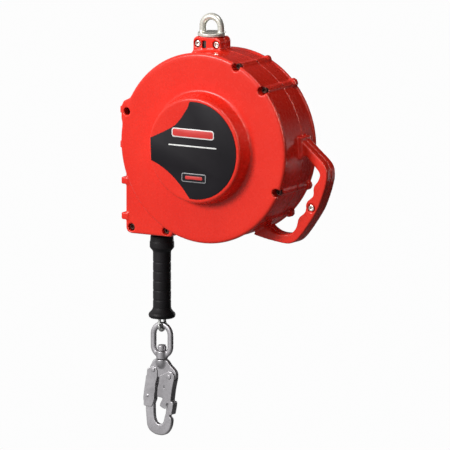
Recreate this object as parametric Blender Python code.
"""Self retracting lifeline, cable type.

Shapes are drawn in millimetres round the drum axis: X to the right, Y to the back
(the front of the casing faces -Y, the casing halves part at Y 0), Z up. The neck and the
anchor eye are on top, the carrying handle on the right, and the cable runs down on the
left to a swivel hook. A finished piece is moved so that the origin lies on the centre of
the top of the anchor eye's flat plate, and is scaled to metres.
"""
import math
from collections import namedtuple
from types import SimpleNamespace

import bpy
import bmesh
from mathutils import Matrix, Vector

MM = 0.001

# Axes that several sections share
EYE_X = -18.3
CABLE_X = -106.5
ON_EYE_AXIS = dict(axis='Z', centre=(EYE_X, 0.0))
ON_CABLE_AXIS = dict(axis='Z', centre=(CABLE_X, 0.0))

EYE_PLATE_Z = (162.5, 167.6)
DEVICE_OFFSET = (-EYE_X, 0.0, -EYE_PLATE_Z[1])  # added to every position

NECK_BOLT_SPREAD = 16.3  # from the eye's axis to each bolt
NECK_BOLT_X = (EYE_X - NECK_BOLT_SPREAD, EYE_X + NECK_BOLT_SPREAD)
NECK_BOLT_Z = 151.0
NECK_BOLT_R = 3.0
NECK_BOLT_HOLE_R = NECK_BOLT_R + 0.4
EYE_SHANK_R = 6.0
CABLE_R = 2.4

# Mesh settings
SEG = 48              # segments of a lathe unless told otherwise
BORE_TURN = 0.13      # radians the facets of the wide bores are turned
MERGE_DIST = 0.004
FLAT_ANGLE = 0.35     # degrees under which neighbouring faces are joined
SHARP_ANGLE = 32      # degrees above which an edge is shaded sharp

# base colour, roughness, metallic
MATERIALS = {
    'red': ((0.80, 0.035, 0.022), 0.38, 0.0),
    'black_label': ((0.018, 0.016, 0.018), 0.45, 0.0),
    'rubber': ((0.012, 0.011, 0.012), 0.6, 0.0),
    'zinc': ((0.55, 0.55, 0.54), 0.42, 1.0),
    'bright': ((0.78, 0.77, 0.73), 0.25, 1.0),
    'steel': ((0.45, 0.45, 0.46), 0.4, 1.0),
    'dark_steel': ((0.20, 0.20, 0.21), 0.45, 1.0),
    'alu': ((0.72, 0.72, 0.73), 0.4, 1.0),
    'lining': ((0.20, 0.13, 0.08), 0.85, 0.0),
    'brass': ((0.70, 0.50, 0.20), 0.35, 1.0),
    'plastic_black': ((0.03, 0.03, 0.032), 0.5, 0.0),
}


def clear_scene():
    for old in list(bpy.data.objects):
        bpy.data.objects.remove(old, do_unlink=True)
    for old in list(bpy.data.meshes):
        bpy.data.meshes.remove(old)


# ================================================================ outlines
def polar(radius, degrees):
    angle = math.radians(degrees)
    return (radius * math.cos(angle), radius * math.sin(angle))


def arc(radius, start_deg, sweep_deg, steps, centre=(0.0, 0.0)):
    """Points along an arc, both ends included."""
    points = []
    for k in range(steps + 1):
        x, y = polar(radius, start_deg + sweep_deg * k / steps)
        points.append((centre[0] + x, centre[1] + y))
    return points


def rectangle(half_width, half_height):
    return [(-half_width, -half_height), (half_width, -half_height),
            (half_width, half_height), (-half_width, half_height)]


def rounded(rows, steps=4):
    """Round the corners of a polygon given as (u, v, corner radius) rows."""
    out = []
    corners = [Vector(row[:2]) for row in rows]
    for i, (u, v, radius) in enumerate(rows):
        if radius <= 0:
            out.append((u, v))
            continue
        corner = corners[i]
        to_prev = corners[i - 1] - corner
        to_next = corners[(i + 1) % len(rows)] - corner
        prev_length, next_length = to_prev.length, to_next.length
        to_prev.normalize()
        to_next.normalize()
        half = math.acos(max(-1.0, min(1.0, to_prev.dot(to_next)))) / 2
        if half > math.pi / 2 - 0.02:  # nearly straight
            out.append((u, v))
            continue
        cut_back = min(radius / math.tan(half), 0.48 * prev_length, 0.48 * next_length)
        fitted = cut_back * math.tan(half)
        centre = corner + (to_prev + to_next).normalized() * (fitted / math.sin(half))
        first = corner + to_prev * cut_back - centre
        last = corner + to_next * cut_back - centre
        start = math.atan2(first.y, first.x)
        turn = (math.atan2(last.y, last.x) - start + math.pi) % (2 * math.pi) - math.pi
        for k in range(steps + 1):
            angle = start + turn * k / steps
            out.append((centre.x + fitted * math.cos(angle), centre.y + fitted * math.sin(angle)))
    return out


def rounded_rectangle(half_width, half_height, radius):
    return rounded([(u, v, radius) for u, v in rectangle(half_width, half_height)])


def spline(points, per_span=2):
    """Smooth open curve through the points."""
    knots = [Vector(p) for p in points]
    knots = [knots[0] * 2 - knots[1]] + knots + [knots[-1] * 2 - knots[-2]]
    curve = []
    for before, begin, end, after in zip(knots, knots[1:], knots[2:], knots[3:]):
        for k in range(per_span):
            t = k / per_span
            curve.append(0.5 * ((2 * begin) + (end - before) * t
                                + (2 * before - 5 * begin + 4 * end - after) * t * t
                                + (3 * begin - before - 3 * end + after) * t ** 3))
    curve.append(knots[-2])
    return [tuple(p) for p in curve]


# ================================================================ solids
def mesh_object(bm):
    bmesh.ops.recalc_face_normals(bm, faces=bm.faces)
    mesh = bpy.data.meshes.new("part")
    bm.to_mesh(mesh)
    bm.free()
    part = bpy.data.objects.new("part", mesh)
    bpy.context.scene.collection.objects.link(part)
    return part


def lathe(profile, axis='Y', centre=(0.0, 0.0), seg=SEG, closed=False, turn=0.0):
    """Revolve (radius, distance along the axis) points round Y or Z.

    An open profile starts and ends on the axis.
    """
    bm = bmesh.new()

    def vertex(radius, angle, along):
        u = centre[0] + radius * math.cos(angle)
        v = centre[1] + radius * math.sin(angle)
        return bm.verts.new((u, along, v) if axis == 'Y' else (u, v, along))

    rings = []
    for radius, along in profile:
        if radius < 1e-6:
            rings.append([vertex(0.0, 0.0, along)])
        else:
            rings.append([vertex(radius, turn + 2 * math.pi * i / seg, along)
                          for i in range(seg)])
    count = len(rings)
    for k in range(count if closed else count - 1):
        near, far = rings[k], rings[(k + 1) % count]
        for i in range(seg):
            j = (i + 1) % seg
            if len(near) == 1:
                bm.faces.new((near[0], far[i], far[j]))
            elif len(far) == 1:
                bm.faces.new((near[i], near[j], far[0]))
            else:
                bm.faces.new((near[i], near[j], far[j], far[i]))
    return mesh_object(bm)


def cylinder(radius, start, end, axis='Y', centre=(0.0, 0.0), seg=24, turn=0.0):
    start, end = sorted((start, end))
    return lathe([(0, start), (radius, start), (radius, end), (0, end)],
                 axis, centre, seg, turn=turn)


def tube(inner_r, outer_r, start, end, seg, axis='Y', centre=(0.0, 0.0)):
    return lathe([(inner_r, start), (outer_r, start), (outer_r, end), (inner_r, end)],
                 axis, centre, seg, closed=True)


def prism(points, start, end, plane='XZ'):
    """Extrude a polygon. XZ polygons run along Y, YZ ones along X."""
    start, end = sorted((start, end))
    bm = bmesh.new()

    def vertex(u, v, along):
        return bm.verts.new((u, along, v) if plane == 'XZ' else (along, u, v))

    near = [vertex(u, v, start) for u, v in points]
    far = [vertex(u, v, end) for u, v in points]
    bm.faces.new(near)
    bm.faces.new(list(reversed(far)))
    for i in range(len(points)):
        j = (i + 1) % len(points)
        bm.faces.new((near[i], near[j], far[j], far[i]))
    return mesh_object(bm)


def box(x_range, y_range, z_range):
    (x0, x1), (z0, z1) = x_range, z_range
    return prism([(x0, z0), (x1, z0), (x1, z1), (x0, z1)], *y_range)


def sweep(path, section, closed=False, normal=(0, 1, 0)):
    """Carry a section along a path; normal is the normal of the plane the path lies in."""
    bm = bmesh.new()
    plane_normal = Vector(normal).normalized()
    points = [Vector(p) for p in path]
    count = len(points)
    rings = []
    for i, point in enumerate(points):
        if closed:
            tangent = (points[(i + 1) % count] - points[i - 1]).normalized()
        else:
            tangent = (points[min(i + 1, count - 1)] - points[max(i - 1, 0)]).normalized()
        side = plane_normal.cross(tangent).normalized()
        up = tangent.cross(side).normalized()
        rings.append([bm.verts.new(point + side * u + up * v) for u, v in section])
    for k in range(count if closed else count - 1):
        near, far = rings[k], rings[(k + 1) % count]
        for i in range(len(section)):
            j = (i + 1) % len(section)
            bm.faces.new((near[i], near[j], far[j], far[i]))
    if not closed:
        bm.faces.new(rings[0])
        bm.faces.new(list(reversed(rings[-1])))
    return mesh_object(bm)


def round_section(radius, seg):
    return [(radius * math.cos(2 * math.pi * i / seg), radius * math.sin(2 * math.pi * i / seg))
            for i in range(seg)]


def apply_modifiers(part):
    graph = bpy.context.evaluated_depsgraph_get()
    graph.update()
    mesh = bpy.data.meshes.new_from_object(part.evaluated_get(graph),
                                           preserve_all_data_layers=False, depsgraph=graph)
    part.modifiers.clear()
    old = part.data
    part.data = mesh
    bpy.data.meshes.remove(old)


def boolean(part, tool, operation):
    """Combine the tool into the part and remove the tool."""
    modifier = part.modifiers.new("boolean", 'BOOLEAN')
    modifier.operation = operation
    modifier.solver = 'EXACT'
    modifier.object = tool
    apply_modifiers(part)
    tool_mesh = tool.data
    bpy.data.objects.remove(tool, do_unlink=True)
    bpy.data.meshes.remove(tool_mesh)


def union(part, tool):
    boolean(part, tool, 'UNION')


def cut(part, tool):
    boolean(part, tool, 'DIFFERENCE')


def drill(part, radius, start, end, **where):
    cut(part, cylinder(radius, start, end, **where))


def drill_neck_bolt(part, x):
    drill(part, NECK_BOLT_HOLE_R, -22.0, 22.0, centre=(x, NECK_BOLT_Z), seg=12)


def bevel(part, width):
    modifier = part.modifiers.new("bevel", 'BEVEL')
    modifier.width = width
    modifier.segments = 1
    modifier.limit_method = 'ANGLE'
    modifier.angle_limit = math.radians(60)
    modifier.use_clamp_overlap = True
    apply_modifiers(part)


# ================================================================ finishing
def clean(mesh):
    bm = bmesh.new()
    bm.from_mesh(mesh)
    bmesh.ops.remove_doubles(bm, verts=bm.verts, dist=MERGE_DIST)
    bmesh.ops.dissolve_degenerate(bm, edges=bm.edges, dist=MERGE_DIST)
    bmesh.ops.dissolve_limit(bm, angle_limit=math.radians(FLAT_ANGLE),
                             verts=bm.verts, edges=bm.edges)
    bmesh.ops.triangulate(bm, faces=bm.faces)
    bmesh.ops.dissolve_degenerate(bm, edges=bm.edges, dist=MERGE_DIST)
    bmesh.ops.recalc_face_normals(bm, faces=bm.faces)
    bm.to_mesh(mesh)
    bm.free()


def make_material(name, kind):
    color, roughness, metallic = MATERIALS[kind]
    result = bpy.data.materials.new(name)
    result.use_nodes = True
    inputs = result.node_tree.nodes["Principled BSDF"].inputs
    inputs["Base Color"].default_value = (*color, 1.0)
    inputs["Roughness"].default_value = roughness
    inputs["Metallic"].default_value = metallic
    return result


def finish(part, name, kind, origin=(0.0, 0.0, 0.0), smooth=True, tidy=True):
    """Clean, move, scale, name and shade a part; origin is its own origin in drum axes."""
    mesh = part.data
    if tidy:
        clean(mesh)
    origin = Vector(origin)
    mesh.transform(Matrix.Translation(-origin))
    mesh.transform(Matrix.Scale(MM, 4))
    part.location = (origin + Vector(DEVICE_OFFSET)) * MM
    part.name = name
    mesh.name = name
    mesh.materials.clear()
    mesh.materials.append(make_material(name, kind))
    for face in mesh.polygons:
        face.use_smooth = False
        face.material_index = 0
    if smooth:
        mesh.set_sharp_from_angle(angle=math.radians(SHARP_ANGLE))
        for face in mesh.polygons:
            face.use_smooth = True


# ================================================================ casing halves
FRONT_RIM_Y = -58.0
REAR_RIM_Y = 42.0
BOSS_FRONT_Y = -82.0
BOSS_REAR_Y = 56.0
RIM_R = 144.7
REAR_RIM_R = 141.8
WALL_R = 141.7
INNER_R = 137.6
FACE_WALL = 4.0       # thickness of the faces across Y
SPLIT = 0.15          # each half stops this far from Y 0
PAST_SPLIT = 5.0      # how far cutters reach across the parting plane
CAVITY_PAST_SPLIT = 4.0
LUG_FRONT_Y = -56.6
HANDLE_HALF = 13.0    # half its width along Y

# Corner rows: x, z, corner radius
LUG_EDGE = [(-110, 88, 0), (-128, 66.5, 5), (-140.5, 60.5, 4), (-144.8, 52, 6), (-144.8, 34, 6)]
LUG = LUG_EDGE + [(-141.5, 22, 2), (-118, 22, 0)]
BLOCK_OUT = LUG_EDGE + [(-141.5, 22, 6), (-141.5, -141.9, 9), (-60.5, -141.9, 7), (-54, -124, 6),
                        (-20, -100, 0), (-20, 40, 0)]
BLOCK_IN = [(-126, 34, 3), (-137.9, 34, 3), (-137.9, -121, 3), (-130, -123.5, 2),
            (-124, -128, 3), (-123.3, -137.9, 3), (-82.5, -137.9, 3), (-80.5, -127, 3),
            (-72, -123, 2), (-40, -100, 0), (-60, 20, 0)]

NECK_LEFT, NECK_RIGHT = -42.0, 5.6
NECK_TOP = 162.0
NECK_HALF = 16.0      # half its width along Y
NECK_SIDE_WALL = 2.2
NECK_CAVITY_HALF = 11.8
NECK_CAVITY_Z = (112.0, NECK_TOP - FACE_WALL)
NECK_OUT = [(-66, 116, 0), (-62, 123.5, 8), (-47, 131.5, 6), (NECK_LEFT, 141, 8),
            (NECK_LEFT, NECK_TOP, 8), (NECK_RIGHT, NECK_TOP, 8), (NECK_RIGHT, 144, 8),
            (10, 139.8, 6), (22, 137.2, 5), (22, 116, 0), ]
NECK_OUT_RADII = (0, 8, 6, 8, 8, 8, 6, 5, 0, 0)
NECK_OUT = [(x, z, radius) for (x, z, _), radius in zip(NECK_OUT, NECK_OUT_RADII)]
NECK_POCKET_X = (-26.6, -19.6)
NECK_POCKET_Z = (144.6, 156.2)
NECK_POCKET_Y = (11.0, 22.0)

# Handle outline as x, z points, both edges from the top down
HANDLE_OUTER = [(130, 26), (142, 21), (166, 2), (184, -13.5), (190, -24), (190.6, -36),
                (187.5, -50), (181, -69), (173.5, -86), (162, -104), (148.5, -122.5),
                (138, -134), (129, -139.2), (119, -141), (100, -139.2), (80, -136), (62, -132)]
HANDLE_INNER = [(136, -11), (144.6, -10.6), (149.5, -6.5), (154.6, -5.6), (160.5, -11),
                (171.4, -22), (176.5, -28), (177.6, -33.5), (174, -42), (168.2, -49),
                (166.6, -55), (166.8, -61), (164.6, -66.5), (156.5, -73), (153.6, -79),
                (153.6, -85), (151.0, -91.5), (143.6, -97.5), (139.8, -103), (138.4, -109),
                (136.4, -115), (131.5, -121.5), (123, -126), (109, -127.4), (96, -124.5),
                (84, -116.5)]
HANDLE = spline(HANDLE_OUTER) + [(70, -118)] + list(reversed(HANDLE_INNER)) + [(126, -6)]

SIDE_RIBS = ((46.0, -150.5), (-7.0, -150.5), (-62.0, -148.0), (-116.0, -148.0))  # z, left face x
SIDE_RIB_RIGHT_X = -139.0
SIDE_RIB_HALF = 5.5
SIDE_RIB_STEP = 1.5   # ribs stop this far short of the block's face

# Casing screws. Side is -1 where the head is at the front, 1 at the rear; seat is the
# distance of the bore's floor from the parting plane.
Screw = namedtuple("Screw", "centre side bore_r seat")
SCREW_RING_R = 140.6
FRONT_ENTRY_ANGLES = (65.6, 42.8, -24.0)
REAR_ENTRY_ANGLES = (-46.0, 137.0)
RING_ANGLES = FRONT_ENTRY_ANGLES + REAR_ENTRY_ANGLES
BLOCK_SCREWS = ((-133.4, 45.2), (-131.5, -132.5), (-71.0, -133.5))
RING_SEAT = 44.0
RING_BORE_R, BLOCK_BORE_R = 6.6, 5.8
SCREWS = ([Screw(polar(SCREW_RING_R, a), -1, RING_BORE_R, RING_SEAT) for a in FRONT_ENTRY_ANGLES]
          + [Screw(polar(SCREW_RING_R, a), 1, BLOCK_BORE_R, 30.0) for a in REAR_ENTRY_ANGLES]
          + [Screw(centre, -1, BLOCK_BORE_R, 39.0) for centre in BLOCK_SCREWS])
SCREW_R = 2.2
SCREW_HOLE_R = SCREW_R + 0.5
SCREW_REACH = 20.0    # shank end past the parting plane
HOLE_REACH = SCREW_REACH + 2.0
BORE_OUT = 70.0       # cutters leave the casing here
RIDGE_RING_R, RIDGE_R = 138.4, 6.2
SCREW_BOSS_R = 7.5
INNER_BOSS_R = SCREW_BOSS_R + 0.7
REAR_BOSS_Y = 28.5
FIRST_REAR_BOSS_R = 6.0

HANDLE_SCREW = (163.5, -83.0)
HANDLE_SCREW_HOLE_R = 2.6

LABEL_HALF_W, LABEL_HALF_H, LABEL_CORNER = 50.0, 32.0, 6.0
LABEL_GAP = 0.6

# Profiles of both halves: radius, y
FRONT = SimpleNamespace(
    sign=-1,
    outer=[(0, BOSS_FRONT_Y), (74.6, BOSS_FRONT_Y), (77.2, BOSS_FRONT_Y + 1.7),
           (78.4, BOSS_FRONT_Y + 4.6), (85.4, FRONT_RIM_Y - 2.6), (88.6, FRONT_RIM_Y),
           (138.1, FRONT_RIM_Y), (143.1, FRONT_RIM_Y + 2.0), (RIM_R, FRONT_RIM_Y + 6.0),
           (RIM_R, FRONT_RIM_Y + 9.0), (WALL_R, FRONT_RIM_Y + 11.5), (WALL_R, -SPLIT),
           (0, -SPLIT)],
    inner=[(0, BOSS_FRONT_Y + FACE_WALL), (73.6, BOSS_FRONT_Y + FACE_WALL),
           (82.2, FRONT_RIM_Y + FACE_WALL), (133.6, FRONT_RIM_Y + FACE_WALL),
           (INNER_R, -50.0), (INNER_R, PAST_SPLIT), (0, PAST_SPLIT)],
    block_y=-48.0,
    ridge_end_y=-RING_SEAT + 0.1,
    inner_boss_y=-54.7,
    neck_recess_r=6.1,
    neck_recess_y=-11.0)
REAR = SimpleNamespace(
    sign=1,
    outer=[(0, BOSS_REAR_Y), (76.6, BOSS_REAR_Y), (79.6, BOSS_REAR_Y - 2.4),
           (84.2, REAR_RIM_Y + 2.0), (87.4, REAR_RIM_Y), (135.4, REAR_RIM_Y),
           (140.3, REAR_RIM_Y - 2.0), (REAR_RIM_R, REAR_RIM_Y - 6.0),
           (REAR_RIM_R, REAR_RIM_Y - 8.6), (REAR_RIM_R - 2.2, REAR_RIM_Y - 10.0),
           (WALL_R, SPLIT), (0, SPLIT)],
    inner=[(0, BOSS_REAR_Y - FACE_WALL), (75.0, BOSS_REAR_Y - FACE_WALL),
           (80.4, REAR_RIM_Y - FACE_WALL), (131.6, REAR_RIM_Y - FACE_WALL),
           (INNER_R - 2.0, 34.0), (INNER_R, -PAST_SPLIT), (0, -PAST_SPLIT)],
    block_y=36.0,
    ridge_end_y=REAR_RIM_Y - 3.5,
    inner_boss_y=39.4,
    neck_recess_r=6.9,
    neck_recess_y=13.4)


def solid_cover(half):
    """Outside of one casing half, not yet hollow."""
    split_y = SPLIT * half.sign
    cover = lathe(half.outer)
    union(cover, prism(rounded(BLOCK_OUT), half.block_y, split_y))
    if half is FRONT:
        union(cover, prism(rounded(LUG), LUG_FRONT_Y, split_y))
    union(cover, prism(rounded(NECK_OUT), NECK_HALF * half.sign, split_y))
    union(cover, prism(HANDLE, HANDLE_HALF * half.sign, split_y))
    rib_y = half.block_y - SIDE_RIB_STEP * half.sign
    for z, left_x in SIDE_RIBS:
        union(cover, box((left_x, SIDE_RIB_RIGHT_X), (rib_y, split_y),
                         (z - SIDE_RIB_HALF, z + SIDE_RIB_HALF)))
    for i, angle in enumerate(RING_ANGLES):
        # a low ridge along the wall at each ring screw, with a boss at the rear
        union(cover, cylinder(RIDGE_R, half.ridge_end_y, split_y,
                              centre=polar(RIDGE_RING_R, angle), seg=14))
        if half is REAR:
            union(cover, cylinder(FIRST_REAR_BOSS_R if i == 0 else SCREW_BOSS_R, REAR_BOSS_Y,
                                  half.ridge_end_y - 0.4, centre=polar(SCREW_RING_R, angle),
                                  seg=14, turn=0.07))
    return cover


def hollow_cover(cover, half):
    past_split = -CAVITY_PAST_SPLIT * half.sign
    left, right = NECK_LEFT + NECK_SIDE_WALL, NECK_RIGHT - NECK_SIDE_WALL
    bottom, top = NECK_CAVITY_Z
    cut(cover, lathe(half.inner, turn=math.pi / SEG))
    cut(cover, prism(rounded(BLOCK_IN, 3), half.block_y - FACE_WALL * half.sign, past_split))
    cut(cover, prism([(left, bottom), (left, top), (right, top), (right, bottom)],
                     NECK_CAVITY_HALF * half.sign, past_split))
    # ring screw bosses put back inside the cavity
    for angle in RING_ANGLES:
        union(cover, cylinder(INNER_BOSS_R, half.inner_boss_y, SPLIT * half.sign,
                              centre=polar(SCREW_RING_R, angle), seg=14, turn=0.1))
    # cable outlet and anchor shank passage
    drill(cover, 12.4, -150.0, -130.0, **ON_CABLE_AXIS)
    drill(cover, 7.6, 150.0, 170.0, **ON_EYE_AXIS, seg=20)


def drill_screw_holes(cover, half):
    past_split = -PAST_SPLIT * half.sign
    for screw in SCREWS:
        has_head = screw.side == half.sign
        hole_end = (BORE_OUT if has_head else HOLE_REACH) * half.sign
        drill(cover, SCREW_HOLE_R, hole_end, past_split, centre=screw.centre, seg=8)
        if has_head:
            drill(cover, screw.bore_r, hole_end, screw.seat * half.sign, centre=screw.centre,
                  seg=16, turn=BORE_TURN)
    handle_hole_end = -20.0 if half is FRONT else 9.6
    drill(cover, HANDLE_SCREW_HOLE_R, handle_hole_end, past_split, centre=HANDLE_SCREW, seg=8)
    if half is FRONT:
        drill(cover, 6.3, handle_hole_end, -9.5, centre=HANDLE_SCREW, seg=16, turn=BORE_TURN)


def cut_neck_details(cover, half):
    """Neck bolt holes with their recesses, and the small pocket between them."""
    for x in NECK_BOLT_X:
        drill_neck_bolt(cover, x)
        drill(cover, half.neck_recess_r, half.neck_recess_y, 22.0 * half.sign,
              centre=(x, NECK_BOLT_Z), seg=16, turn=BORE_TURN)
    cut(cover, box(NECK_POCKET_X, [y * half.sign for y in NECK_POCKET_Y], NECK_POCKET_Z))


def build_cover(half, name):
    cover = solid_cover(half)
    hollow_cover(cover, half)
    drill_screw_holes(cover, half)
    cut_neck_details(cover, half)
    if half is REAR:
        cut(cover, prism(rounded_rectangle(LABEL_HALF_W + LABEL_GAP, LABEL_HALF_H + LABEL_GAP, 6.4),
                         BOSS_REAR_Y - 1.0, BOSS_REAR_Y + 9.0))
    finish(cover, name, 'red')


# ---------------------------------------------------------------- label plates
# x, z; the left edge of the front label, up to its notch and on from it
LABEL_LOWER_EDGE = [(-6.9, -74.3), (-21.5, -56.4), (-39, -40.2), (-59.6, -26.9), (-74.9, -20.6)]
LABEL_UPPER_EDGE = [(-76.2, 13.8), (-50.7, 26), (-30, 39), (-12.5, 62), (-8.3, 71.6)]


def build_labels():
    # the round right edge already ends beside the first point of the lower edge
    outline = (arc(74.0, 95.5, -191.0, 24) + spline(LABEL_LOWER_EDGE)[1:]
               + spline(LABEL_UPPER_EDGE))
    finish(prism(outline, BOSS_FRONT_Y - 1.0, BOSS_FRONT_Y - 0.2), "front_label",
           'black_label', tidy=False, smooth=False)
    finish(prism(rounded_rectangle(LABEL_HALF_W, LABEL_HALF_H, LABEL_CORNER),
                 BOSS_REAR_Y - 0.8, BOSS_REAR_Y - 0.1), "rear_label",
           'black_label', tidy=False, smooth=False)


# ---------------------------------------------------------------- fasteners of the casing
def cap_screw(centre, head_y, head_r, head_h, shank_r, end_y):
    """Screw along Y with its head at the front and a hexagon socket."""
    screw = lathe([(0, head_y), (head_r - 0.5, head_y), (head_r, head_y + 0.5),
                   (head_r, head_y + head_h), (shank_r, head_y + head_h), (shank_r, end_y),
                   (0, end_y)], centre=centre, seg=10)
    drill(screw, 2.0, head_y - 2, head_y + 2.2, centre=centre, seg=6, turn=0.3)
    return screw


def build_fasteners():
    for i, spec in enumerate(SCREWS):
        screw = cap_screw(spec.centre, head_y=-spec.seat - 5.0, head_r=4.6, head_h=4.7,
                          shank_r=SCREW_R, end_y=SCREW_REACH)
        if spec.side > 0:
            # turned end for end about its own place
            screw.data.transform(Matrix.Translation((0, 0, 2 * spec.centre[1]))
                                 @ Matrix.Rotation(math.pi, 4, 'X'))
        finish(screw, "casing_screw_%d" % (i + 1), 'dark_steel')
    finish(cap_screw(HANDLE_SCREW, head_y=-13.3, head_r=4.8, head_h=3.5, shank_r=2.1, end_y=9.0),
           "handle_screw", 'bright')
    for x, side in zip(NECK_BOLT_X, ("left", "right")):
        centre = (x, NECK_BOLT_Z)
        finish(cap_screw(centre, head_y=-14.3, head_r=4.75, head_h=2.6, shank_r=NECK_BOLT_R,
                         end_y=18.0), "neck_bolt_" + side, 'bright')
        nut = cylinder(6.3, 13.7, 17.2, centre=centre, seg=6)
        drill(nut, NECK_BOLT_HOLE_R, 10.0, 20.0, centre=centre, seg=12)
        finish(nut, "neck_nut_" + side, 'bright', smooth=False)


# ================================================================ frame
FRAME_HALF = 60.0     # reach of the plate's blank and cutters
FRAME_BOTTOM, FRAME_TOP = -112.0, 157.6
FRAME_LEFT, FRAME_RIGHT = -39.2, 2.8  # neck part
# x, z, corner radius
FRAME_OUTLINE = [(-30, FRAME_BOTTOM, 8), (30, FRAME_BOTTOM, 8), (52, -60, 10), (44, 20, 20),
                 (26, 80, 10), (FRAME_RIGHT, 118, 4), (FRAME_RIGHT, FRAME_TOP, 3),
                 (FRAME_LEFT, FRAME_TOP, 3), (FRAME_LEFT, 118, 4), (-46, 80, 20),
                 (-52, 0, 20), (-52, -60, 10)]
FRAME_HOLES = ((-18, -92), (18, -92), (-28, 62), (14, 62))
FRAME_HOLE_R = 5.0


def build_frame_plate(name, drum_y, far_y, neck_near_y, neck_far_y, hub_hole_r):
    """Drum_y is the face towards the drum. The plate folds inwards above it into the neck."""
    side = [(drum_y, FRAME_BOTTOM), (far_y, FRAME_BOTTOM), (far_y, 121.0), (neck_far_y, 127.4),
            (neck_far_y, FRAME_TOP), (neck_near_y, FRAME_TOP), (neck_near_y, 125.2),
            (drum_y, 119.4)]
    plate = prism(side, -FRAME_HALF, FRAME_HALF, 'YZ')
    boolean(plate, prism(rounded(FRAME_OUTLINE, 3), -FRAME_HALF, FRAME_HALF), 'INTERSECT')
    drill(plate, hub_hole_r, -FRAME_HALF, FRAME_HALF)
    for x in NECK_BOLT_X:
        drill_neck_bolt(plate, x)
    for centre in FRAME_HOLES:
        drill(plate, FRAME_HOLE_R, -FRAME_HALF, FRAME_HALF, centre=centre, seg=10)
    finish(plate, name, 'steel')


def build_frame():
    build_frame_plate("frame_plate_front", drum_y=-24.5, far_y=-28.0, neck_near_y=-8.4,
                      neck_far_y=-11.4, hub_hole_r=13.4)
    build_frame_plate("frame_plate_rear", drum_y=34.7, far_y=37.7, neck_near_y=8.4,
                      neck_far_y=11.4, hub_hole_r=9.4)
    block = box((FRAME_LEFT, FRAME_RIGHT), (-8.1, 8.1), (143.0, 157.7))
    drill(block, EYE_SHANK_R + 0.3, 130.0, 170.0, **ON_EYE_AXIS, seg=20)
    for x in NECK_BOLT_X:
        drill_neck_bolt(block, x)
    finish(block, "swivel_block", 'steel')


# ---------------------------------------------------------------- cable outlet
# radius, z
NOZZLE = [(3.2, -148.0), (15.0, -148.0), (16.2, -146.8), (16.2, -142.3), (11.7, -142.2),
          (11.7, -137.7), (15.0, -137.6), (14.0, -132.6), (3.2, -132.6)]


def build_nozzle():
    finish(lathe(NOZZLE, **ON_CABLE_AXIS, seg=18, closed=True), "nozzle_bushing",
           'plastic_black')


# ---------------------------------------------------------------- spring housing and bush
CUP_R = 70.4
# radius, y
SPRING_CUP = [(9.8, -76.2), (69.0, -76.2), (CUP_R, -74.8), (CUP_R, -30.0), (69.0, -30.0),
              (69.0, -74.6), (9.8, -74.8)]
SHAFT_BUSH = [(9.4, -28.2), (13.0, -28.2), (13.0, -24.2), (17.0, -24.2), (17.0, -22.6),
              (9.4, -22.6)]
SPRING_TURNS, STEPS_PER_TURN = 6, 12
SPRING_R0, SPRING_R1 = 11.0, 67.4
SPRING_Y = -52.0


def build_spring_unit():
    finish(lathe(SPRING_CUP, seg=28, closed=True), "spring_cup", 'steel')
    finish(tube(14.2, CUP_R, -29.7, -28.3, 28), "spring_cover", 'steel')
    steps = SPRING_TURNS * STEPS_PER_TURN
    spiral = []
    for k in range(steps + 1):
        angle = 2 * math.pi * k / STEPS_PER_TURN
        radius = SPRING_R0 + (SPRING_R1 - SPRING_R0) * (k / steps) ** 0.8
        spiral.append((radius * math.cos(angle), SPRING_Y, radius * math.sin(angle)))
    finish(sweep(spiral, rectangle(0.55, 20.5)), "power_spring", 'dark_steel', tidy=False)
    finish(lathe(SHAFT_BUSH, seg=16, closed=True), "shaft_bush", 'brass')


# ================================================================ anchor eye
EYE_PLATE_R = 21.5
EYE_BAR_R = 5.15
EYE_HALF = 15.9
EYE_ARCH_Z = 175.6
EYE_FOOT_Z = 165.0    # the bar's ends, inside the plate
EYE_NECK_R = 4.5
EYE_NUT_BORE_R, EYE_NUT_R = 4.9, 8.0
# radius, z
EYE_STEM = [(0, 132.6), (EYE_NECK_R, 132.6), (EYE_NECK_R, 143.4), (EYE_SHANK_R, 143.4),
            (EYE_SHANK_R, EYE_PLATE_Z[0]), (EYE_PLATE_R - 0.8, EYE_PLATE_Z[0]),
            (EYE_PLATE_R, EYE_PLATE_Z[0] + 0.8), (EYE_PLATE_R, EYE_PLATE_Z[1] - 1.2),
            (EYE_PLATE_R - 1.2, EYE_PLATE_Z[1]), (0, EYE_PLATE_Z[1])]


def build_anchor_eye():
    """The eye turns in the swivel block, held by a washer and a nut."""
    eye = lathe(EYE_STEM, **ON_EYE_AXIS, seg=28)
    arch = ([(EYE_X + EYE_HALF, EYE_FOOT_Z)]
            + arc(EYE_HALF, 0.0, 180.0, 12, centre=(EYE_X, EYE_ARCH_Z))
            + [(EYE_X - EYE_HALF, EYE_FOOT_Z)])
    union(eye, sweep([(x, 0.0, z) for x, z in arch], round_section(EYE_BAR_R, 14)))
    finish(eye, "anchor_eye", 'bright', origin=(EYE_X, 0, EYE_FOOT_Z))
    finish(tube(EYE_NUT_BORE_R, EYE_NUT_R, 141.0, 142.7, 18, **ON_EYE_AXIS),
           "thrust_washer", 'brass', origin=(EYE_X, 0, 141))
    finish(tube(EYE_NUT_BORE_R, EYE_NUT_R, 134.6, 140.6, 12, **ON_EYE_AXIS),
           "swivel_nut", 'bright', origin=(EYE_X, 0, 137))


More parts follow.
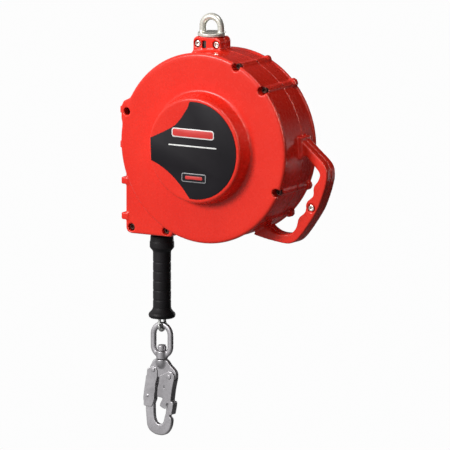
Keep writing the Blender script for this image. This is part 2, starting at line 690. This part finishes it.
# ================================================================ drum
SHAFT_R = 9.0
SHAFT_GROOVE_Y = (39.0, 40.8)
DRUM_BORE_R = SHAFT_R + 0.3
CORE_R = 62.0
CORE_RIM_R = CORE_R - 5.0
CORE_HUB_R = 20.0
CORE_WEB_HALF = 4.0
FLANGE_R = 120.0
FLANGE_IN, FLANGE_OUT = 16.0, 20.0
CORE_HALF = FLANGE_IN - 0.3
PACK_R = 103.8
PACK_INNER_R = CORE_R + 0.6
PACK_RIDGES = 3


def build_shaft():
    groove_start, groove_end = SHAFT_GROOVE_Y
    groove_r = SHAFT_R - 1.2
    finish(lathe([(0, -74.0), (SHAFT_R, -74.0), (SHAFT_R, groove_start), (groove_r, groove_start),
                  (groove_r, groove_end), (SHAFT_R, groove_end), (SHAFT_R, 46.0), (0, 46.0)],
                 seg=20), "main_shaft", 'steel')
    finish(tube(SHAFT_R - 0.8, 13.0, groove_start + 0.2, groove_end - 0.2, 16),
           "retaining_ring", 'dark_steel')


def build_drum():
    front_side = [(DRUM_BORE_R, -CORE_HALF), (CORE_HUB_R, -CORE_HALF),
                  (CORE_HUB_R, -CORE_WEB_HALF), (CORE_RIM_R, -CORE_WEB_HALF),
                  (CORE_RIM_R, -CORE_HALF), (CORE_R, -CORE_HALF)]
    rear_side = [(radius, -y) for radius, y in reversed(front_side)]
    finish(lathe(front_side + rear_side, seg=24, closed=True), "drum_core", 'alu')
    finish(tube(DRUM_BORE_R, FLANGE_R, -FLANGE_OUT, -FLANGE_IN, 40), "drum_flange_front", 'alu')
    finish(tube(DRUM_BORE_R, FLANGE_R, FLANGE_IN, FLANGE_OUT, 40), "drum_flange_rear", 'alu')


def build_wound_cable():
    """The wound cable as one solid with low ridges round it."""
    pitch = 2 * CORE_HALF / PACK_RIDGES
    profile = [(PACK_INNER_R, -CORE_HALF), (PACK_R - 1.6, -CORE_HALF)]
    for k in range(PACK_RIDGES):
        y = -CORE_HALF + pitch * (k + 0.5)
        profile.append((PACK_R, y))
        if k < PACK_RIDGES - 1:
            profile.append((PACK_R - 1.4, y + pitch / 2))
    profile += [(PACK_R - 1.6, CORE_HALF), (PACK_INNER_R, CORE_HALF)]
    finish(lathe(profile, seg=36, closed=True, turn=math.pi / 36), "wound_cable", 'zinc',
           tidy=False)


# ================================================================ friction brake and pawls
WHEEL_TEETH = 24
WHEEL_TIP, WHEEL_ROOT = 38.0, 34.0
LINING_BORE_R, LINING_R = 14.4, 32.0
NUT_BORE_R = 14.6
# radius, y
BRAKE_HUB = [(9.4, 20.4), (33.0, 20.4), (33.0, 22.0), (14.0, 22.0), (14.0, 34.4), (9.4, 34.4)]
SPRING_WASHER = [(LINING_BORE_R, 29.6), (26.0, 28.8), (26.0, 30.0), (LINING_BORE_R, 30.8)]

PAWL_PIN_RAD = 56.0
PAWL_ANGLES = (30.0, 210.0)
PAWL_REACH = 28.7     # degrees from the pawl pin to the tooth face it meets
PAWL_LIFT = 10.0      # degrees the pawl is swung clear of the wheel
PAWL_EYE_R = 7.0
# radius from the drum axis, degrees from the tooth face
PAWL_TIP = ((34.7, -1.0), (39.6, -1.6), (45.0, -9.0), (53.0, -18.0))
PAWL_TAIL = ((68.0, -44.0), (69.0, -52.0), (60.0, -55.0), (53.0, -42.0), (48.0, -31.0),
             (44.5, -22.0), (40.6, -15.5), (36.6, -6.0))
# radius, y
PAWL_PIN = [(0, 20.3), (5.5, 20.3), (5.5, 23.2), (3.0, 23.2), (3.0, 28.0), (4.2, 28.0),
            (4.2, 29.4), (0, 29.4)]


def build_brake_wheel():
    outline = []
    for k in range(WHEEL_TEETH):
        face = PAWL_ANGLES[0] + PAWL_REACH + k * 360.0 / WHEEL_TEETH
        outline += [polar(WHEEL_ROOT, face), polar(WHEEL_TIP, face + 3.2),
                    polar(WHEEL_ROOT + 2.0, face + 8.5)]
    wheel = prism(outline, 23.4, 27.4)
    drill(wheel, NUT_BORE_R, 10.0, 40.0)
    finish(wheel, "brake_wheel", 'dark_steel', smooth=False)


def build_brake():
    """Brake round the shaft, between the rear drum flange and the rear frame plate."""
    finish(lathe(BRAKE_HUB, seg=18, closed=True), "brake_hub", 'steel')
    finish(tube(LINING_BORE_R, LINING_R, 22.3, 23.1, 18), "brake_lining_front", 'lining')
    build_brake_wheel()
    finish(tube(LINING_BORE_R, LINING_R, 27.7, 28.5, 18), "brake_lining_rear", 'lining')
    finish(lathe(SPRING_WASHER, seg=18, closed=True), "brake_spring_washer", 'steel')
    finish(tube(NUT_BORE_R, 20.0, 31.1, 34.2, 18), "brake_nut", 'steel')


def pawl_outline(pin_deg, pin):
    """Outline drawn engaged, then lifted clear of the wheel round the pin."""
    face = pin_deg + PAWL_REACH
    engaged = ([polar(radius, face + turn) for radius, turn in PAWL_TIP]
               + arc(PAWL_EYE_R, pin_deg + 60, -120, 6, centre=pin)
               + [polar(radius, face + turn) for radius, turn in PAWL_TAIL])
    cosine, sine = polar(1.0, -PAWL_LIFT)
    lifted = []
    for x, z in engaged:
        dx, dz = x - pin[0], z - pin[1]
        lifted.append((pin[0] + dx * cosine - dz * sine, pin[1] + dx * sine + dz * cosine))
    return lifted


def build_pawls():
    for pin_deg, suffix in zip(PAWL_ANGLES, "ab"):
        pin = polar(PAWL_PIN_RAD, pin_deg)
        origin = (pin[0], 25.0, pin[1])
        pawl = prism(pawl_outline(pin_deg, pin), 23.6, 27.2)
        drill(pawl, 3.4, 10.0, 40.0, centre=pin, seg=14)
        finish(pawl, "pawl_" + suffix, 'dark_steel', origin=origin, smooth=False)
        finish(lathe(PAWL_PIN, centre=pin, seg=14), "pawl_pin_" + suffix, 'steel', origin=origin)


# ================================================================ cable, ferrule and grip
LINK_PIVOT_Z = -286.1
LOOP_R = 8.8
THIMBLE_R = 5.6
# radius, z
FERRULE = [(0, -264.0), (7.0, -264.0), (8.2, -262.0), (8.2, -242.0), (6.4, -240.0), (0, -240.0)]
GRIP_TOP = [(3.3, -148.6), (15.5, -148.6), (17.4, -150.0), (17.8, -157.6), (18.6, -159.4),
            (18.6, -167.0), (17.6, -168.8), (14.6, -172.2), (13.8, -174.0)]
GRIP_BOTTOM = [(13.6, -258.0), (14.6, -262.0), (17.0, -265.3), (19.6, -267.8), (20.5, -270.6),
               (19.8, -273.6), (17.6, -275.4), (15.4, -275.6), (13.0, -266.0), (11.0, -258.0),
               (11.0, -234.0), (7.0, -230.0), (3.3, -229.0)]
GRIP_BANDS, GRIP_BAND_TOP, GRIP_BAND_PITCH = 6, -177.0, 14.5


def across_cable(points):
    """Place (y, z) points in the YZ plane through the cable."""
    return [(CABLE_X, y, z) for y, z in points]


def build_cable():
    finish(cylinder(CABLE_R, -239.7, 0.0, **ON_CABLE_AXIS, seg=14), "cable_run", 'zinc',
           tidy=False)
    finish(lathe(FERRULE, **ON_CABLE_AXIS, seg=14), "ferrule", 'alu')
    pivot = (0.0, LINK_PIVOT_Z)
    loop = ([(-4.4, -265.0), (-5.4, -270.5)] + arc(LOOP_R, 160, 220, 12, centre=pivot)
            + [(5.4, -270.5), (4.4, -265.0)])
    finish(sweep(across_cable(loop), round_section(CABLE_R, 10), normal=(1, 0, 0)),
           "cable_loop", 'zinc', tidy=False)
    thimble = arc(THIMBLE_R, 170, 200, 14, centre=pivot)
    finish(sweep(across_cable(thimble), rectangle(0.45, 2.5), normal=(1, 0, 0)),
           "thimble", 'zinc', tidy=False)


def build_grip():
    profile = list(GRIP_TOP)
    for k in range(GRIP_BANDS):
        z = GRIP_BAND_TOP - GRIP_BAND_PITCH * k
        profile += [(13.7, z), (13.7, z - 10.5), (13.3, z - 12.5)]
    profile += GRIP_BOTTOM
    finish(lathe(profile, **ON_CABLE_AXIS, seg=16, closed=True, turn=0.11), "grip", 'rubber')


# ================================================================ swivel link
LINK_HALF = 14.9
LINK_BOTTOM_Z = -333.6
LINK_BAR_R = 4.4
SWIVEL_HOLE_R = 3.9
# radius, z
LINK_BOSS = [(0, -338.3), (7.8, -338.3), (8.8, -337.3), (8.8, -327.3), (7.8, -326.3),
             (0, -326.3)]
SWIVEL_PIN = [(0, -346.6), (3.5, -346.6), (3.5, -325.9), (6.0, -325.9), (6.8, -325.1),
              (6.8, -318.6), (5.4, -316.9), (0, -316.5)]


def build_swivel_link():
    outline = (arc(LINK_HALF, 0, 180, 7, centre=(CABLE_X, LINK_PIVOT_Z - LINK_HALF))
               + arc(LINK_HALF, 180, 180, 7, centre=(CABLE_X, LINK_BOTTOM_Z + LINK_HALF)))
    link = sweep([(x, 0.0, z) for x, z in outline], round_section(LINK_BAR_R, 10), closed=True)
    union(link, lathe(LINK_BOSS, **ON_CABLE_AXIS, seg=20))
    drill(link, SWIVEL_HOLE_R, -350.0, -320.0, **ON_CABLE_AXIS, seg=16)
    finish(link, "swivel_link", 'zinc', origin=(CABLE_X, 0, LINK_PIVOT_Z))
    finish(lathe(SWIVEL_PIN, **ON_CABLE_AXIS, seg=16), "swivel_pin", 'zinc',
           origin=(CABLE_X, 0, -335))


# ================================================================ hook
# Half widths along Y: hook plate, then the gate's cheeks over it, then the lever's over those
SHEET = 1.1
SHEET_GAP = 0.3
HOOK_HALF = 3.9
GATE_IN = HOOK_HALF + SHEET_GAP
GATE_OUT = GATE_IN + SHEET
LEVER_IN = GATE_OUT + SHEET_GAP
LEVER_OUT = LEVER_IN + SHEET
GATE_PIVOT = (CABLE_X - 13.0, -355.5)
LEVER_PIVOT = (CABLE_X + 16.0, -364.0)
PIVOT_HOLE_R, PIVOT_PIN_R = 2.6, 2.3

# Outlines below: x from the cable axis, z; the cheeks also give a corner radius
HOOK_OUTLINE = [
    (-9, -339.1), (-11.8, -339.5), (-14.6, -342), (-17.4, -347.3), (-19.6, -351.5),
    (-20.8, -355.5), (-20, -360.5), (-15.5, -365), (-8, -366.5), (0, -367.5), (6, -370.5),
    (9.2, -377), (9.8, -388), (9.6, -400), (9.0, -412), (8.0, -420.2), (6.1, -426.5),
    (4.6, -432.5), (2.6, -436.6), (-0.9, -438.2), (-4.3, -438.3), (-7.8, -436.2),
    (-10.6, -431.7), (-12.0, -425), (-12.4, -415.9), (-12.6, -405), (-13.6, -399.3),
    (-17, -396.6), (-21.5, -398.2), (-24.8, -403.5), (-26.7, -410), (-27.2, -417.2),
    (-26.5, -424.7), (-25.9, -432.3), (-24.7, -441.3), (-21.8, -447.3), (-17.8, -450.8),
    (-11.3, -454.0), (-4.3, -455.2), (2.8, -455.0), (9.4, -452.2), (14.2, -447),
    (17.3, -440.8), (18.8, -433.5), (18.8, -428.8), (16.9, -426.0), (15.4, -423.2),
    (15.4, -404), (16.2, -396), (18.4, -385), (20.2, -376.5), (21.8, -371.5), (24.3, -367),
    (26.8, -362), (27.2, -358.8), (25.4, -354.6), (20.9, -350.2), (16.1, -346.1),
    (12.8, -341.4), (9, -339.1)]
GATE_CHEEK = [
    (-23.4, -354.6, 2), (-14, -350.6, 5), (-7.2, -351.8, 4), (-5.4, -358, 3), (-5.7, -366, 2),
    (-8.7, -377.3, 0), (-9.5, -388.1, 0), (-10.9, -394.3, 3), (-10.9, -401, 3),
    (-13.1, -407.0, 2), (-15.7, -412.6, 1.5), (-26.2, -412.4, 0), (-29.7, -411.6, 2),
    (-29.7, -405.8, 2), (-30.6, -400.6, 3), (-28.9, -386.7, 0), (-26.2, -371.3, 3),
    (-25.6, -366, 1), (-24.2, -364.5, 1)]
GATE_VOID = [(-40, -335), (15, -335), (15, -372.0), (-9.6, -372.0), (-10.2, -384),
             (-12.1, -394), (-12.1, -425), (-40, -425)]
LEVER_CHEEK = [
    (9.5, -358.5, 3), (16.0, -355.2, 4), (21.5, -357.0, 4), (25.3, -362.0, 4),
    (24.6, -368.6, 3), (22.7, -376.3, 0), (21.1, -384.1, 0), (20.0, -391.8, 0),
    (19.0, -399.5, 1), (19.2, -402.1, 1), (22.3, -402.2, 1.5), (23.2, -405.2, 2),
    (22.3, -411.4, 0), (20.0, -422.6, 2), (15.4, -422.0, 1), (15.2, -405.0, 1),
    (11.6, -405.0, 1), (9.6, -414.0, 1), (4.5, -412.5, 0), (-0.4, -409.6, 1.5),
    (0.6, -405.2, 0), (5.0, -397.3, 1), (-5.0, -395.9, 1.5), (-4.3, -382.9, 0),
    (-2.2, -375.1, 0), (-0.8, -363.5, 3)]
LEVER_VOID = [
    (-20, -340), (40, -340), (40, -369.2), (23.2, -370.0), (21.6, -376.1), (20.0, -384.0),
    (18.9, -391.7), (17.9, -399.6), (18.3, -403.3), (21.4, -403.4), (22.0, -405.2),
    (21.2, -411.2), (18.7, -424.0), (18.0, -430), (-20, -430)]
LEVER_WINDOW = [(5.6, -380.3), (7.5, -377.6), (9.4, -380.3), (7.5, -383.0)]
# radius, z
HOOK_BOSS = [(0, -353.0), (2.4, -352.6), (5.6, -350.4), (7.6, -347.0), (8.6, -342.6),
             (8.6, -339.6), (8.2, -339.05), (0, -339.05)]

COIL_TURNS, COIL_STEPS = 2, 10
COIL_R, COIL_WIRE_R, COIL_LENGTH = 3.75, 0.5, 3.8


def hook_prism(points, half_width):
    return prism([(CABLE_X + x, z) for x, z in points], -half_width, half_width)


def drill_pivot(part, pivot):
    drill(part, PIVOT_HOLE_R, -20, 20, centre=pivot, seg=12)


def build_hook_body():
    hook = hook_prism(HOOK_OUTLINE, HOOK_HALF)
    bevel(hook, 1.3)
    union(hook, lathe(HOOK_BOSS, **ON_CABLE_AXIS, seg=18))
    drill(hook, SWIVEL_HOLE_R, -347.6, -330.0, **ON_CABLE_AXIS, seg=16)
    drill_pivot(hook, GATE_PIVOT)
    drill_pivot(hook, LEVER_PIVOT)
    # pocket for the gate spring round the gate pin
    drill(hook, 5.0, -2.6, 2.6, centre=GATE_PIVOT, seg=14)
    finish(hook, "hook_body", 'zinc', origin=(CABLE_X, 0, -350))


def build_pivot_pin(name, pivot, cheek_half, head_r):
    """Headed pin through a pair of cheeks."""
    inner, outer = cheek_half + 0.3, cheek_half + 1.3
    rear_end = [(PIVOT_PIN_R, inner), (head_r, inner), (head_r, outer - 0.5),
                (head_r - 0.5, outer), (0, outer)]
    front_end = [(radius, -y) for radius, y in reversed(rear_end)]
    finish(lathe(front_end + rear_end, centre=pivot, seg=12), name, 'zinc',
           origin=(pivot[0], 0, pivot[1]))


def build_gate_spring():
    x, z = GATE_PIVOT
    steps = COIL_TURNS * COIL_STEPS
    coil = []
    for k in range(steps + 1):
        angle = 2 * math.pi * k / COIL_STEPS
        coil.append((x + COIL_R * math.cos(angle), -COIL_LENGTH / 2 + COIL_LENGTH * k / steps,
                     z + COIL_R * math.sin(angle)))
    finish(sweep(coil, round_section(COIL_WIRE_R, 6)), "gate_spring", 'steel',
           origin=(x, 0, z), tidy=False)


def build_gate():
    """Folded sheet with its cheeks outside the hook plate."""
    gate = hook_prism(rounded(GATE_CHEEK, 2), GATE_OUT)
    cut(gate, hook_prism(GATE_VOID, GATE_IN))
    drill_pivot(gate, GATE_PIVOT)
    finish(gate, "gate", 'zinc', origin=(GATE_PIVOT[0], 0, GATE_PIVOT[1]))
    build_pivot_pin("gate_pin", GATE_PIVOT, GATE_OUT, head_r=3.4)
    build_gate_spring()


def build_lock_lever():
    """Folded sheet over the spine, with a window through both cheeks."""
    lever = hook_prism(rounded(LEVER_CHEEK, 2), LEVER_OUT)
    cut(lever, hook_prism(LEVER_VOID, LEVER_IN))
    drill_pivot(lever, LEVER_PIVOT)
    cut(lever, hook_prism(LEVER_WINDOW, 20))
    finish(lever, "lock_lever", 'zinc', origin=(LEVER_PIVOT[0], 0, LEVER_PIVOT[1]))
    build_pivot_pin("lever_pin", LEVER_PIVOT, LEVER_OUT, head_r=3.6)


# ================================================================ build
clear_scene()
build_cover(FRONT, "front_cover")
build_cover(REAR, "rear_cover")
build_labels()
build_fasteners()
build_frame()
build_nozzle()
build_spring_unit()
build_anchor_eye()
build_shaft()
build_drum()
build_wound_cable()
build_brake()
build_pawls()
build_cable()
build_grip()
build_swivel_link()
build_hook_body()
build_gate()
build_lock_lever()
